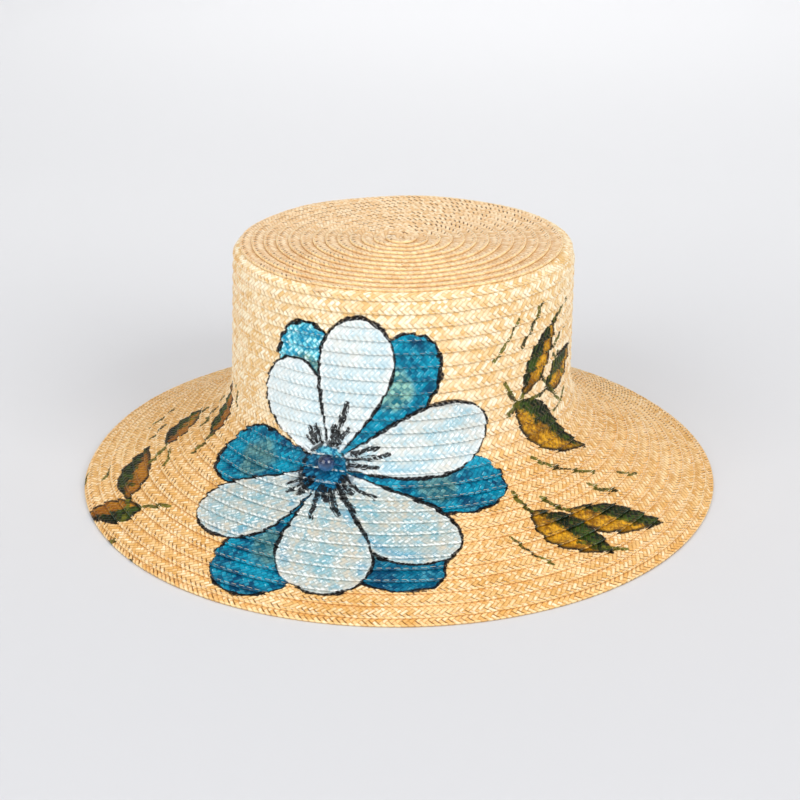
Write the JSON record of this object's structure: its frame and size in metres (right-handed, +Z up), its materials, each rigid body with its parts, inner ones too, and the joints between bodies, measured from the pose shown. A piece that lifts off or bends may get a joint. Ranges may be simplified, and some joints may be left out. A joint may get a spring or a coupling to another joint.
{
  "type": "straw sun hat",
  "caption": "Flat-topped round straw sun hat sewn from spiral braid, with an upright crown, a drooping brim and a hand-painted flower with a bead.",
  "frame": {"origin": "middle of the circle that the brim's edge stands on, on the resting surface", "axes": "+Z up through the crown; the painted flower faces -Y; +X is to the right seen from the front"},
  "size_m": [0.349, 0.3495, 0.131],
  "materials": {
    "straw_tip": "natural wheat straw braid, satin",
    "straw_side": "natural wheat straw braid, satin, acrylic painted flower and leaves on the front",
    "straw_brim": "natural wheat straw braid, satin, acrylic painted flower and leaves on the front",
    "ribbon": "cream ribbed cotton ribbon, matt",
    "pearl": "dark blue pearl, high gloss",
    "thread": "polyester sewing thread, dark blue through the bead and cream along the braid rows"
  },
  "bodies": {
    "root": {"bead": "pearl", "bead_thread": "thread", "braid_splice_end": "straw_tip", "brim_row_01": "straw_brim", "brim_row_02": "straw_brim", "brim_row_03": "straw_brim", "brim_row_04": "straw_brim", "brim_row_05": "straw_brim", "brim_row_06": "straw_brim", "brim_row_07": "straw_brim", "brim_row_08": "straw_brim", "brim_row_09": "straw_brim", "brim_row_10": "straw_brim", "brim_row_11": "straw_brim", "brim_row_12": "straw_brim", "brim_row_13": "straw_brim", "side_row_01": "straw_side", "side_row_02": "straw_side", "side_row_03": "straw_side", "side_row_04": "straw_side", "side_row_05": "straw_side", "side_row_06": "straw_side", "side_row_07": "straw_side", "side_row_08": "straw_side", "side_row_09": "straw_side", "side_row_10": "straw_side", "side_row_11": "straw_side", "side_row_12": "straw_side", "side_row_13": "straw_side", "side_row_14": "straw_side", "sweatband": "ribbon", "tip_button": "straw_tip", "tip_row_01": "straw_tip", "tip_row_02": "straw_tip", "tip_row_03": "straw_tip", "tip_row_04": "straw_tip", "tip_row_05": "straw_tip", "tip_row_06": "straw_tip", "tip_row_07": "straw_tip", "tip_row_08": "straw_tip", "tip_row_09": "straw_tip", "tip_row_10": "straw_tip", "tip_row_11": "straw_tip", "tip_row_12": "straw_tip"}
  },
  "joints": []
}
